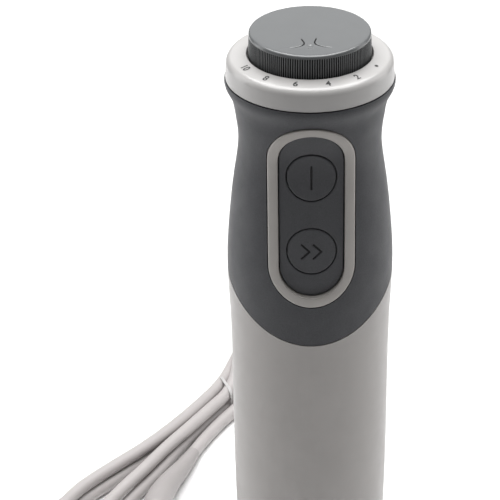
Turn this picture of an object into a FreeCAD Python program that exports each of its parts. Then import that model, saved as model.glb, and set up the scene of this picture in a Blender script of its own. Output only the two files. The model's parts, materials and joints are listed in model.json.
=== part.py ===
"""Immersion blender: motor unit with a dial and two buttons, detachable stainless foot, mains lead.

Millimetres. +Z is up, the buttons face -Y, and the bell's rim stands on z = 0 with the drive
shaft's axis on the Z axis. The driving dimensions are the cells of the sheet "Sizes".
"""
import FreeCAD, Part
import math
import os
import re

import Sketcher
from FreeCAD import Placement, Rotation, Vector

ABOVE = Vector(0, 0, 1)
ALONG_Y = Rotation(Vector(1, 0, 0), -90)
STILL = Rotation()

CELLS = {
    # whole object; a "drop" is a distance below the level total_height, just under the dial's top face
    "total_height": 412, "dial_rise": 0.7, "foot_length": 180, "joint_gap": 0.4,
    # outline of the handle and barrel
    "lip_radius": 33.1, "lip_drop": 20.2, "throat_radius": 31.2, "throat_drop": 24.5,
    "neck_radius": 29.3, "neck_drop": 32.4, "waist_radius": 28.2, "waist_drop": 42.5,
    "palm_radius": 30.1, "palm_drop": 60, "swell_radius": 32.2, "swell_drop": 78,
    "belly_radius": 33.5, "belly_drop": 97, "seam_radius": 32.9, "seam_drop": 121.8,
    "barrel_radius": 32.5, "barrel_drop": 171, "base_radius": 31.8,
    "grip_wall": 2.4, "barrel_wall": 2.6, "grip_top_drop": 18.5,
    "seam_arc_radius": 40, "seam_gap": 0.4, "vent_width": 1.8, "vent_height": 16,
    # dial and collar ring
    "dial_radius": 23.8, "dial_edge": 1.2, "dial_skirt_drop": 10, "dial_roof": 2.2,
    "ring_bore": 24.4, "ring_top_drop": 8.3, "ring_shoulder": 30.8, "ring_shoulder_drop": 9.6,
    "ring_radius": 32.3, "ring_bend_drop": 11.8, "ring_foot_radius": 32.8, "ring_bottom_drop": 18.1,
    "ring_floor_drop": 12.5, "ring_floor": 2.5,
    "ring_skirt_radius": 29.4, "ring_skirt_wall": 2, "ring_skirt_drop": 21.5,
    "spindle_radius": 3, "bushing_radius": 4.5, "hub_radius": 5.5,
    # button panel
    "bezel_half_width": 17, "bezel_high_drop": 26.2, "bezel_low_drop": 103.6, "bezel_proud": 0.5,
    "panel_half_width": 12.5, "panel_high_drop": 30.1, "panel_low_drop": 98.6, "panel_sunk": 1.6,
    "panel_flatness": 22, "panel_wall": 2.4, "panel_gap": 0.3, "button_radius": 9.45,
    "button_sunk": 1.3, "button_gap": 0.4,
    "first_button_drop": 48.7, "second_button_drop": 79.4, "button_travel": 1.2,
    "first_flange_y": -22.4, "second_flange_y": -26.2, "flange_radius": 11.2, "flange_wall": 1,
    "carrier_y": -16, "carrier_wall": 2, "plunger_radius": 1.2,
    # motor
    "motor_base": 192, "shaft_radius": 4, "run_gap": 0.05, "bearing_radius": 8,
    "core_low": 24, "core_high": 50, "core_radius": 16.5, "air_gap": 0.6,
    "stator_radius": 28, "stator_half_depth": 25, "fan_radius": 21,
    "bracket_radius": 28.6, "bracket_wall": 4, "upper_bracket": 77,
    # foot
    "neck_outer": 22, "neck_wall": 2.5, "neck_top": 187.2, "lug_reach": 2.4, "lug_angle": 16,
    "lug_low": 183.4, "lug_high": 186.4, "lug_gap": 0.3,
    "tube_radius": 12.5, "tube_wall": 0.9, "tube_low": 46, "tube_high": 158,
    "lower_shaft_radius": 3, "bell_radius": 32.5, "bell_wall": 1.2, "bell_neck": 50,
    "rim_notch_radius": 7.5, "blade_level": 10.5, "blade_reach": 23, "blade_width": 9,
    "blade_sheet": 1.2, "hub_low": 7,
    # mains lead
    "cord_radius": 3.8, "relief_length": 38, "relief_tilt": 37, "relief_drop": 32,
    "relief_root": 5.8, "relief_tip": 4.6, "hank_height": 15.2, "far_fold_height": 22.8,
    "hank_fold_radius": 27.5,
    "plug_half_width": 18.5, "plug_height": 27, "plug_length": 34, "neck_mouth": 4.7, "neck_reach": 9, "pin_radius": 2.4,
    "pin_length": 19, "pin_spacing": 19,
}

doc = FreeCAD.newDocument("immersion_blender")
sizes = doc.addObject("Spreadsheet::Sheet", "Sizes")
for row, (alias, number) in enumerate(CELLS.items(), start=1):
    sizes.set(f"A{row}", alias)
    sizes.set(f"B{row}", str(number))
    sizes.setAlias(f"B{row}", alias)
doc.recompute()

nodes = {}


# ---- expressions and plain pieces ---------------------------------------------------------------
def linked(expression):
    """The expression with every alias read from the sheet."""
    return re.sub(r"\b([a-z]\w*_\w+)\b", r"Sizes.\1", str(expression))


def size(expression):
    """What an expression of the sheet's aliases comes to."""
    scope = {alias: float(sizes.get(alias)) for alias in re.findall(r"\b[a-z]\w*_\w+\b", str(expression))}
    total = str(expression)
    for alias in sorted(scope, key=len, reverse=True):
        total = re.sub(rf"\b{alias}\b", f"({scope[alias]!r})", total)
    answer = FreeCAD.Units.Quantity(total)
    return answer.Value


def bind(thing, **properties):
    for name, expression in properties.items():
        thing.setExpression(name, linked(expression))
    return thing


def place(thing, x="0", y="0", z="0", turn=STILL):
    thing.Placement = Placement(Vector(), turn)
    for axis, expression in zip("xyz", (x, y, z)):
        thing.setExpression(f"Placement.Base.{axis}", linked(expression))
    return thing


def rod(radius, low, high, x="0", y="0"):
    """An upright cylinder from z = low to z = high."""
    piece = doc.addObject("Part::Cylinder", "Rod")
    bind(piece, Radius=radius, Height=f"({high}) - ({low})")
    return place(piece, x, y, low)


def rod_along_y(radius, low, high, x, z):
    piece = doc.addObject("Part::Cylinder", "Pin")
    bind(piece, Radius=radius, Height=f"({high}) - ({low})")
    return place(piece, x, low, z, ALONG_Y)


def block(x, y, z):
    """A box between the low and high expressions of each axis."""
    piece = doc.addObject("Part::Box", "Block")
    spans = {"Length": x, "Width": y, "Height": z}
    bind(piece, **{name: f"({high}) - ({low})" for name, (low, high) in spans.items()})
    return place(piece, x[0], y[0], z[0])


def fused(*pieces):
    joined = doc.addObject("Part::MultiFuse", "Fused")
    joined.Shapes = list(pieces)
    return joined


def group(*pieces):
    """Separate solids kept in one node."""
    together = doc.addObject("Part::Compound", "Group")
    together.Links = list(pieces)
    return together


def cut(base, *tools):
    piece = doc.addObject("Part::Cut", "Cut")
    piece.Base = base
    piece.Tool = tools[0] if len(tools) == 1 else fused(*tools)
    return piece


def shared(*pieces):
    common = doc.addObject("Part::MultiCommon", "Shared")
    common.Shapes = list(pieces)
    return common


def pipe(outer, inner, low, high, x="0", y="0"):
    return cut(rod(outer, low, high, x, y), rod(inner, low, high, x, y))


def turned_by(piece, degrees):
    """The piece swung about the Z axis."""
    swing = Placement(Vector(), Rotation(ABOVE, degrees))
    held = doc.addObject("Part::Compound", "Swung")
    held.Links = [piece]
    held.Placement = swing
    return held


def node(name, thing):
    thing.Label = name
    nodes[name] = thing
    return thing


def made(name, shape):
    """A piece whose shape needs curves that no primitive has."""
    piece = doc.addObject("Part::Feature", name)
    piece.Shape = shape
    return piece


# ---- turned pieces ------------------------------------------------------------------------------
def turned(name, outline, rounded=None, turn=STILL, at=Vector()):
    """A PartDesign body revolved from a closed outline of (radius, height) expressions.

    rounded gives (radius, height, fillet) for the circular edges that are softened."""
    body = doc.addObject("PartDesign::Body", name)
    sketch = body.newObject("Sketcher::SketchObject", f"{name}_outline")
    plane = next(part for part in body.Origin.OriginFeatures if part.Role == "XZ_Plane")
    sketch.AttachmentSupport = [(plane, "")]
    sketch.MapMode = "FlatFace"
    corners = [(size(radius), size(height)) for radius, height in outline]
    count = len(corners)
    for index, (radius, height) in enumerate(corners):
        following = corners[(index + 1) % count]
        sketch.addGeometry(Part.LineSegment(Vector(radius, height, 0), Vector(*following, 0)), False)
    for index in range(count):
        sketch.addConstraint(Sketcher.Constraint("Coincident", index, 2, (index + 1) % count, 1))
    for index, expressions in enumerate(outline):
        for kind, axis, number, expression in zip(
                ("DistanceX", "DistanceY"), (-2, -1), corners[index], expressions):
            if abs(number) < 1e-9:
                sketch.addConstraint(Sketcher.Constraint("PointOnObject", index, 1, axis))
                continue
            made_at = sketch.addConstraint(Sketcher.Constraint(kind, -1, 1, index, 1, number))
            sketch.renameConstraint(made_at, f"{kind}{index}")
            sketch.setExpression(f"Constraints.{kind}{index}", linked(expression))
    solid = body.newObject("PartDesign::Revolution", f"{name}_turning")
    solid.Profile = sketch
    solid.ReferenceAxis = (sketch, ["V_Axis"])
    solid.Angle = 360
    if rounded:
        doc.recompute()
        for radius, height, fillet in rounded:
            edges = circles_at(solid.Shape, size(radius), size(height))
            softened = body.newObject("PartDesign::Fillet", f"{name}_edge")
            softened.Base = (solid, edges)
            bind(softened, Radius=fillet)
            doc.recompute()
            solid = softened
    body.Placement = Placement(at, turn)
    return body


def circles_at(shape, radius, height):
    """Names of the circular edges of that radius at that height."""
    found = []
    for number, edge in enumerate(shape.Edges, start=1):
        curve = edge.Curve
        if isinstance(curve, Part.Circle) and abs(curve.Radius - radius) < 0.01:
            if abs(curve.Center.z - height) < 0.01:
                found.append(f"Edge{number}")
    return found


def curve_through(points):
    curve = Part.BSplineCurve()
    curve.interpolate([Vector(radius, 0, height) for radius, height in points])
    return curve.toShape()


def spun(outer, inner):
    """The solid between two upright profiles, each a list of (radius, height) from top to bottom."""
    edges = [curve_through(outer), curve_through(inner)]
    for end in (0, -1):
        far = Vector(outer[end][0], 0, outer[end][1])
        near = Vector(inner[end][0], 0, inner[end][1])
        edges.append(Part.LineSegment(far, near).toShape())
    outline = Part.Wire(Part.__sortEdges__(edges))
    return Part.Face(outline).revolve(Vector(), ABOVE, 360)


STATIONS = ("lip", "throat", "neck", "waist", "palm", "swell", "belly", "seam", "barrel")
HANDLE = [(size(f"{name}_radius"), size(f"total_height - {name}_drop")) for name in STATIONS]
HANDLE = [(size("lip_radius"), size("total_height - grip_top_drop"))] + HANDLE
HANDLE = HANDLE + [(size("base_radius"), size("foot_length"))]


def skin(depth_out, depth_in, flatter=0):
    """The handle's revolved skin between two depths below its outer face. flatter makes its front less
    curved from side to side, by turning it about an axis that much further back."""
    outer = [(radius + flatter - depth_out, height) for radius, height in HANDLE]
    inner = [(radius + flatter - depth_in, height) for radius, height in HANDLE]
    shell = spun(outer, inner)
    shell.translate(Vector(0, flatter, 0))
    return shell


# ---- collar ring and dial -----------------------------------------------------------------------
def dial_parts():
    node("speed_dial", turned("speed_dial", [
        ("spindle_radius + run_gap", "total_height - dial_skirt_drop - 1"),
        ("hub_radius", "total_height - dial_skirt_drop - 1"),
        ("hub_radius", "total_height - dial_roof"),
        ("dial_radius - dial_roof", "total_height - dial_roof"),
        ("dial_radius - dial_roof", "total_height - dial_skirt_drop"),
        ("dial_radius", "total_height - dial_skirt_drop"),
        ("dial_radius", "total_height + dial_rise"),
        ("0", "total_height + dial_rise"),
        ("0", "total_height - dial_roof"),
        ("spindle_radius + run_gap", "total_height - dial_roof"),
    ], rounded=[("dial_radius", "total_height + dial_rise", "dial_edge")]))
    node("dial_spindle", rod("spindle_radius", "total_height - 29", "total_height - dial_roof"))
    case = rod("8.5", "total_height - 31", "total_height - 22")
    bushing = rod("bushing_radius", "total_height - 22", "total_height - ring_floor_drop + 0.8")
    bore = rod("spindle_radius + run_gap", "total_height - 30", "total_height")
    node("dial_potentiometer", cut(fused(case, bushing), bore))
    node("dial_board", rod("17", "total_height - 33", "total_height - 31.2"))
    node("top_ring", turned("top_ring", [
        ("ring_bore", "total_height - ring_top_drop"),
        ("ring_shoulder", "total_height - ring_shoulder_drop"),
        ("ring_radius", "total_height - ring_bend_drop"),
        ("ring_foot_radius", "total_height - ring_bottom_drop"),
        ("ring_skirt_radius", "total_height - ring_bottom_drop"),
        ("ring_skirt_radius", "total_height - ring_skirt_drop"),
        ("ring_skirt_radius - ring_skirt_wall", "total_height - ring_skirt_drop"),
        ("ring_skirt_radius - ring_skirt_wall", "total_height - ring_floor_drop - ring_floor"),
        ("bushing_radius + 0.2", "total_height - ring_floor_drop - ring_floor"),
        ("bushing_radius + 0.2", "total_height - ring_floor_drop"),
        ("ring_bore", "total_height - ring_floor_drop"),
    ], rounded=[("ring_shoulder", "total_height - ring_shoulder_drop", "2")]))


# ---- handle shells ------------------------------------------------------------------------------
def seam_cylinder(gap):
    """The cylinder along Y whose lower half draws the U-shaped seam, front and back."""
    centre = size("total_height - seam_drop + seam_arc_radius")
    radius = size("seam_arc_radius") + gap
    reach = 2 * size("belly_radius")
    return Part.makeCylinder(radius, 2 * reach, Vector(0, -reach, centre), Vector(0, 1, 0))


def above_seam(gap):
    """Everything inside the seam's U, and all that is higher."""
    reach = 2 * size("belly_radius")
    centre = size("total_height - seam_drop + seam_arc_radius")
    width = 2 * (size("seam_arc_radius") + gap)
    top = Part.makeBox(width, 2 * reach, size("total_height"), Vector(-width / 2, -reach, centre))
    return seam_cylinder(gap).fuse(top)


def racetrack(half_width, high_drop, low_drop, widen):
    """An upright racetrack prism in front of the axis."""
    half = size(half_width) + widen
    low = size(f"total_height - {low_drop}") - widen
    high = size(f"total_height - {high_drop}") + widen
    reach = 2 * size("belly_radius")
    middle = Part.makeBox(2 * half, reach, high - low - 2 * half, Vector(-half, -reach, low + half))
    ends = [Part.makeCylinder(half, reach, Vector(0, -reach, height), Vector(0, 1, 0))
            for height in (low + half, high - half)]
    return middle.multiFuse(ends)


def relief_direction():
    tilt = math.radians(size("relief_tilt"))
    return Vector(0, math.cos(tilt), -math.sin(tilt))


def relief_start():
    """Where the lead's axis crosses the middle of the grip's rear wall."""
    return Vector(0, size("throat_radius - grip_wall") - 2, size("total_height - relief_drop"))


def handle_parts():
    relief_hole = Part.makeCylinder(size("relief_root") + 0.1, 12, relief_start() - 4 * relief_direction(),
                                    relief_direction())
    bezel_hole = racetrack("bezel_half_width", "bezel_high_drop", "bezel_low_drop", size("panel_gap"))
    grip = skin(0, size("grip_wall")).common(above_seam(0)).cut(bezel_hole).cut(relief_hole)
    node("grip_cover", made("grip_cover", grip))

    barrel = skin(0, size("barrel_wall")).cut(above_seam(size("seam_gap")))
    width, height = size("vent_width"), size("vent_height")
    for angle in range(-42, 43, 12):
        slot = Part.makeBox(width, 12, height, Vector(-width / 2, 26, size("total_height - barrel_drop")))
        slot.rotate(Vector(), ABOVE, angle)
        barrel = barrel.cut(slot)
    node("lower_housing", made("lower_housing", barrel))

    node("joint_sleeve", pipe("seam_radius - barrel_wall - 0.5", "seam_radius - barrel_wall - 2.2",
                              "total_height - seam_drop - 12", "total_height - seam_drop + 22"))

    bezel = skin(-size("bezel_proud"), size("grip_wall")).common(
        racetrack("bezel_half_width", "bezel_high_drop", "bezel_low_drop", 0)).cut(
        racetrack("panel_half_width", "panel_high_drop", "panel_low_drop", size("panel_gap")))
    node("button_bezel", made("button_bezel", bezel))

    panel = skin(size("panel_sunk"), size("panel_sunk + panel_wall"), size("panel_flatness")).common(
        racetrack("panel_half_width", "panel_high_drop", "panel_low_drop", 0))
    for which in ("first", "second"):
        panel = panel.cut(button_column(which, size("button_radius + button_gap")))
    node("button_panel", made("button_panel", panel))


# ---- buttons and switches -----------------------------------------------------------------------
def button_column(which, radius):
    """A cylinder along Y, from the front to the axis, on a button's centre."""
    height = size(f"total_height - {which}_button_drop")
    reach = 2 * size("belly_radius")
    return Part.makeCylinder(radius, reach, Vector(0, -reach, height), Vector(0, 1, 0))


def button_parts():
    carrier = [block(("-13", "13"), ("carrier_y", "carrier_y + carrier_wall"),
                     ("total_height - 100", "total_height - 34"))]
    for which, name in (("first", "on"), ("second", "turbo")):
        level = f"total_height - {which}_button_drop"
        flange = f"{which}_flange_y"
        cap = skin(size("button_sunk"), 14, size("panel_flatness")).common(
            button_column(which, size("button_radius")))
        front = Part.makeBox(80, 80, 80, Vector(-40, size(flange) - 80, size(level) - 40))
        cap = cap.common(front)
        plate = rod_along_y("flange_radius", flange, f"{flange} + flange_wall", "0", level)
        node(f"{name}_button", fused(made(f"{name}_cap", cap), plate))
        back = f"{flange} + flange_wall"
        node(f"{name}_plunger", rod_along_y("plunger_radius", back, f"{back} + 3.4", "0", level))
        case = block(("-3.2", "3.2"), (f"{back} + button_travel + 0.6", f"{back} + 5.4"),
                     (f"{level} - 6.4", f"{level} + 6.4"))
        bore = rod_along_y("plunger_radius + 0.1", back, f"{back} + 5", "0", level)
        node(f"{name}_microswitch", cut(case, bore))
        if size(back) + 5.4 < size("carrier_y"):
            carrier.append(block(("-5", "5"), (f"{back} + 5.4", "carrier_y"),
                                 (f"{level} - 8", f"{level} + 8")))
    board_y = "carrier_y + carrier_wall"
    face = f"{board_y} + 3.2"
    corners = [(x, f"total_height - {drop}") for x in ("-10", "10") for drop in (46, 94)]

    def bolts(radius, near, far):
        return [rod_along_y(radius, near, far, *corner) for corner in corners]

    screw, tip = "1.1", f"{board_y} - 2"
    node("switch_carrier", cut(fused(*carrier), *bolts(screw, tip, face)))
    board = block(("-15", "15"), (f"{board_y} + 1.6", face), ("total_height - 118", "total_height - 40"))
    node("control_board", cut(board, *bolts(screw, board_y, face)))
    node("board_spacers", cut(group(*bolts("2.2", board_y, f"{board_y} + 1.6")),
                              *bolts(screw, board_y, face)))
    node("carrier_screws", group(*[fused(*pair) for pair in zip(
        bolts(screw, tip, face), bolts("2.1", face, f"{face} + 1.2"))]))
    node("suppressor_capacitor", block(("-9", "9"), (face, f"{face} + 8.5"),
                                       ("total_height - 74", "total_height - 58")))
    node("triac", block(("-5", "5"), (face, f"{face} + 4.5"), ("total_height - 90", "total_height - 80")))
    plate = block(("-11", "11"), (f"{face} + 4.5", f"{face} + 6"),
                  ("total_height - 108", "total_height - 79"))
    fins = [block((str(x), str(x + 1)), (f"{face} + 6", f"{face} + 14"),
                  ("total_height - 108", "total_height - 79")) for x in (-11, -6, -0.5, 5, 10)]
    node("heat_sink", fused(plate, *fins))


# ---- motor --------------------------------------------------------------------------------------
def motor_z(offset):
    return f"motor_base + {offset}"


def bracket(name, low, post_low, post_high):
    """A round motor bracket with a bearing seat, air windows and two posts to the stator."""
    disc = rod("bracket_radius", low, f"{low} + bracket_wall")
    rim = rod("bearing_radius + 2.4", low, f"{low} + 6")
    posts = [block(("-5", "5"), span, (post_low, post_high))
             for span in (("-26", "-22.6"), ("22.6", "26"))]
    windows = [rod("5.5", low, f"{low} + 6", str(round(18 * math.cos(math.radians(angle)), 3)),
                   str(round(18 * math.sin(math.radians(angle)), 3)))
               for angle in (0, 45, 135, 180, 225, 315)]
    node(name, cut(fused(disc, rim, *posts), rod("bearing_radius", low, f"{low} + 6"), *windows))


def motor_parts():
    node("motor_shaft", rod("shaft_radius", motor_z(-8), motor_z(86)))
    node("armature_core", cut(
        rod("core_radius", motor_z("core_low"), motor_z("core_high")),
        rod("shaft_radius", motor_z("core_low"), motor_z("core_high")),
        *[turned_by(block(("-1.1", "1.1"), ("core_radius - 4", "core_radius + 1"),
                          (motor_z("core_low"), motor_z("core_high"))), angle)
          for angle in range(0, 360, 30)]))
    node("armature_winding", group(
        pipe("core_radius - 1.5", "shaft_radius", motor_z(18), motor_z("core_low")),
        pipe("core_radius - 1.5", "shaft_radius", motor_z("core_high"), motor_z(58))))
    node("commutator", pipe("9", "shaft_radius", motor_z(60), motor_z(75)))
    node("upper_bearing", pipe("bearing_radius", "shaft_radius + run_gap",
                               motor_z("upper_bracket"), motor_z("upper_bracket + 6")))
    node("lower_bearing", pipe("bearing_radius", "shaft_radius + run_gap", motor_z(0), motor_z(6)))
    bracket("motor_upper_bracket", motor_z("upper_bracket"), motor_z("core_high"),
            motor_z("upper_bracket"))
    bracket("motor_lower_bracket", motor_z(0), motor_z(4), motor_z("core_low"))
    node("upper_damper", pipe("bracket_radius + 1.2", "bracket_radius",
                              motor_z("upper_bracket"), motor_z("upper_bracket + bracket_wall")))
    node("lower_damper", pipe("bracket_radius + 0.6", "bracket_radius",
                              motor_z(0), motor_z("bracket_wall")))

    core = (motor_z("core_low"), motor_z("core_high"))
    stack = shared(rod("stator_radius", *core),
                   block(("-stator_radius", "stator_radius"),
                         ("-stator_half_depth", "stator_half_depth"), core))
    legs, coils = [], []
    for side in (("-21.8", "-17.9"), ("17.9", "21.8")):
        for span in (("-15.8", "-9.8"), ("9.8", "15.8")):
            legs.append(block(span, side, core))
        loop = block(("-15.8", "15.8"), side, (motor_z(19), motor_z(55)))
        inner = block(("-9.8", "9.8"), side, core)
        coils.append(cut(loop, inner))
    node("stator_stack", cut(stack, rod("core_radius + air_gap", *core), *legs))
    node("field_coils", group(*coils))

    vanes = [turned_by(block(("-0.6", "0.6"), ("6", "fan_radius - 0.5"), (motor_z(9), motor_z(16))), angle)
             for angle in range(0, 360, 36)]
    node("cooling_fan", cut(fused(rod("fan_radius", motor_z(8), motor_z(9.4)),
                                  rod("7", motor_z(8), motor_z(16)), *vanes),
                            rod("shaft_radius", motor_z(8), motor_z(16))))

    holders, brushes = [], []
    for side in (-1, 1):
        near, far = (("9.8", "24") if side > 0 else ("-24", "-9.8"))
        holder = block((near, far), ("-4.2", "4.2"), (motor_z(63), motor_z("upper_bracket")))
        well = (("9.8", "21") if side > 0 else ("-21", "-9.8"))
        holders.append(cut(holder, block(well, ("-2.6", "2.6"), (motor_z(65), motor_z(71)))))
        carbon = (("9.3", "18") if side > 0 else ("-18", "-9.3"))
        brushes.append(block(carbon, ("-2.5", "2.5"), (motor_z(65.1), motor_z(70.9))))
    node("brush_holders", group(*holders))
    node("carbon_brushes", group(*brushes))

    node("motor_seal", pipe("12", "shaft_radius + run_gap", "motor_base - 3.2", "motor_base - 0.2"))
    socket = block(("-4.1", "4.1"), ("-4.1", "4.1"), ("176", "motor_base - 8"))
    node("drive_coupling", cut(rod("8", "176", "motor_base - 4"), socket,
                               rod("shaft_radius", "motor_base - 8", "motor_base - 4")))


# ---- bayonet and foot ---------------------------------------------------------------------------
def lug(grow, turn_degrees, low, high):
    """A bayonet lug, or the room for one, as a wedge of a ring."""
    reach = size("neck_outer + lug_reach") + grow
    angle = size("lug_angle") + 2 * math.degrees(grow / reach)
    wedge = Part.makeCylinder(reach, high - low, Vector(0, 0, low), ABOVE, angle)
    wedge.rotate(Vector(), ABOVE, turn_degrees - angle / 2)
    hole = Part.makeCylinder(size("neck_outer") - 0.6, high - low, Vector(0, 0, low))
    return wedge.cut(hole)


def foot_parts():
    low, high, gap = size("lug_low"), size("lug_high"), size("lug_gap")
    body = Part.makeCylinder(size("base_radius - barrel_wall - 0.1"), size("motor_base - 0.2 - foot_length"),
                             Vector(0, 0, size("foot_length")))
    body = body.cut(Part.makeCylinder(size("neck_outer") + gap, size("motor_base - foot_length - 3.4"),
                                      Vector(0, 0, size("foot_length"))))
    body = body.cut(Part.makeCylinder(12, 20, Vector(0, 0, size("motor_base - 6"))))
    channel = Part.makeCylinder(size("neck_outer + lug_reach") + gap, high - low + 2 * gap,
                                Vector(0, 0, low - gap))
    body = body.cut(channel)
    collar = None
    for angle in (90, 210, 330):
        body = body.cut(lug(gap, angle + 30, size("foot_length"), low))
        tab = lug(0, angle, low, high)
        collar = tab if collar is None else collar.fuse(tab)
    node("locking_ring", made("locking_ring", body))

    joint = size("foot_length - joint_gap")
    wide, neck, tube = size("base_radius"), size("neck_outer"), size("tube_radius")
    sleeve = Part.makeCylinder(neck, size("neck_top") - joint, Vector(0, 0, joint))
    flank = curve_through([(wide, joint), (wide - 1.2, joint - 9), (wide - 9, joint - 24),
                           (tube + 4.5, joint - 35), (tube + 1.6, joint - 44)])
    base = joint - 44
    edges = [flank,
             Part.LineSegment(Vector(tube + 1.6, 0, base), Vector(tube, 0, base)).toShape(),
             Part.LineSegment(Vector(tube, 0, base), Vector(tube, 0, joint)).toShape(),
             Part.LineSegment(Vector(tube, 0, joint), Vector(wide, 0, joint)).toShape()]
    cone = Part.Face(Part.Wire(Part.__sortEdges__(edges))).revolve(Vector(), ABOVE, 360)
    hollow = Part.makeCylinder(size("neck_outer - neck_wall"), 60, Vector(0, 0, size("tube_high")))
    well = Part.makeCone(tube, size("neck_outer - neck_wall"), 9, Vector(0, 0, size("tube_high") - 9))
    core = Part.makeCylinder(tube, 60, Vector(0, 0, base))
    collar = cone.fuse(sleeve).fuse(collar).cut(hollow).cut(core).cut(well)
    node("foot_collar", made("foot_collar", collar.removeSplitter()))

    node("foot_tube", pipe("tube_radius", "tube_radius - tube_wall", "tube_low", "tube_high - 6"))
    bell = size("bell_radius")
    wall = size("bell_wall")
    outer = [(tube + wall, size("bell_neck")), (tube + wall + 1.6, 42), (22, 31.5), (29, 21),
             (bell - 0.5, 9), (bell, 0)]
    inner = [(tube + 0.25, size("bell_neck")), (tube + 1.4, 41.2), (22 - 1.1, 30.4), (29 - wall, 20.4),
             (bell - 0.5 - wall, 8.8), (bell - wall, 0)]
    guard = spun(outer, inner)
    for angle in (45, 135):
        notch = Part.makeCylinder(size("rim_notch_radius"), 4 * bell, Vector(0, -2 * bell, -1.5), Vector(0, 1, 0))
        notch.rotate(Vector(), ABOVE, angle)
        guard = guard.cut(notch)
    node("bell_guard", made("bell_guard", guard))
    bore = "lower_shaft_radius + run_gap"
    node("bush_carrier", pipe("tube_radius - tube_wall", "5.5", "22", "48"))
    node("lower_bush", pipe("5.5", bore, "26", "46"))
    node("shaft_seal", pipe("5.5", bore, "22", "25.6"))
    node("upper_bush", pipe("tube_radius - tube_wall", bore, "140", "150"))


def drive_parts():
    node("lower_drive_shaft", rod("lower_shaft_radius", "hub_low + 1", "178"))
    node("drive_key", cut(block(("-4", "4"), ("-4", "4"), ("174", "motor_base - 9")),
                          rod("lower_shaft_radius", "174", "178")))
    node("blade_hub", cut(rod("5", "hub_low", "blade_level + 4"),
                          rod("lower_shaft_radius", "hub_low + 1", "blade_level + 4"),
                          rod("5", "blade_level", "blade_level + blade_sheet")))
    level, reach, half = size("blade_level"), size("blade_reach"), size("blade_width") / 2
    hub = 5
    arms = [Part.makeCylinder(hub + 0.6, size("blade_sheet"), Vector(0, 0, level))]
    for swing, tilt in ((0, 0), (90, 14)):
        for side in (0, 180):
            corners = [Vector(0, -half, level), Vector(reach - 5, -half, level),
                       Vector(reach, half - 2, level), Vector(reach - 2, half, level),
                       Vector(0, half, level)]
            wing = Part.Face(Part.makePolygon(corners + corners[:1])).extrude(
                Vector(0, 0, size("blade_sheet")))
            if tilt:
                wing.rotate(Vector(hub, 0, level), Vector(0, 1, 0), -tilt)
                wing = wing.cut(Part.makeCylinder(hub, 60, Vector()))
            wing.rotate(Vector(), ABOVE, swing + side)
            arms.append(wing)
    plate = arms[0].multiFuse(arms[1:])
    plate = plate.cut(Part.makeCylinder(size("lower_shaft_radius"), 60, Vector()))
    node("blade", made("blade", plate.removeSplitter()))


# ---- mains lead ---------------------------------------------------------------------------------
HANK_TIE = Vector(-39.7, 349, 0)
HANK_WAY = Vector(-0.6, -0.8, 0)
RELIEF_SET_BACK = 5
LEAD_ROUTE = [
    (0, 86, 317), (1, 93.5, 270), (0.5, 94.5, 218), (1.5, 97, 165), (1, 102, 114), (0, 113, 68),
    (-2, 132, 32), (-5, 162, 9), (-8, 198, 3.8), (-12, 236, 3.8), (-16.5, 272, 3.8),
    (-17, 307, 3.8), (-10, 339, 3.8), (4, 368, 3.8),
]
PLUG_ROUTE = [(-50, 313.5, 3.8), (-62.5, 291.5, 3.8), (-71, 271.5, 5)]
PLUG_FACE = Vector(-84.5, 171, 13.5)


def route_tube(name, points, radius):
    """A round tube along straight runs joined by the largest arcs that the runs allow."""
    points = [Vector(*point) for point in points]
    edges = []
    start = points[0]
    tightest = math.inf
    for before, corner, after in zip(points, points[1:], points[2:]):
        back = before - corner
        onward = after - corner
        trim = 0.45 * min(back.Length, onward.Length)
        half_turn = (math.pi - back.getAngle(onward)) / 2
        bend = trim / math.tan(half_turn)
        tightest = min(tightest, bend)
        first = corner + back.normalize() * trim
        last = corner + onward.normalize() * trim
        bulge = (back + onward).normalize() * (bend / math.cos(half_turn) - bend)
        edges.append(Part.LineSegment(start, first).toShape())
        edges.append(Part.Arc(first, corner + bulge, last).toShape())
        start = last
    edges.append(Part.LineSegment(start, points[-1]).toShape())
    path = Part.Wire(edges)
    length = path.Length
    section = Part.Wire(Part.Circle(points[0], points[1] - points[0], radius).toShape())
    tube = path.makePipeShell([section], True, False)
    ratio = tube.Volume / (math.pi * radius ** 2 * length)
    print(f"{name}: length {length:.0f}, tightest bend {tightest:.1f}, volume ratio {ratio:.3f}")
    return node(name, made(name, tube))


def on_hank(along, across):
    """A point on the floor by its distance along the hank from the tie and to the hank's right."""
    right = Vector(-HANK_WAY.y, HANK_WAY.x, 0)
    return HANK_TIE + HANK_WAY * along + right * across


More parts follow.
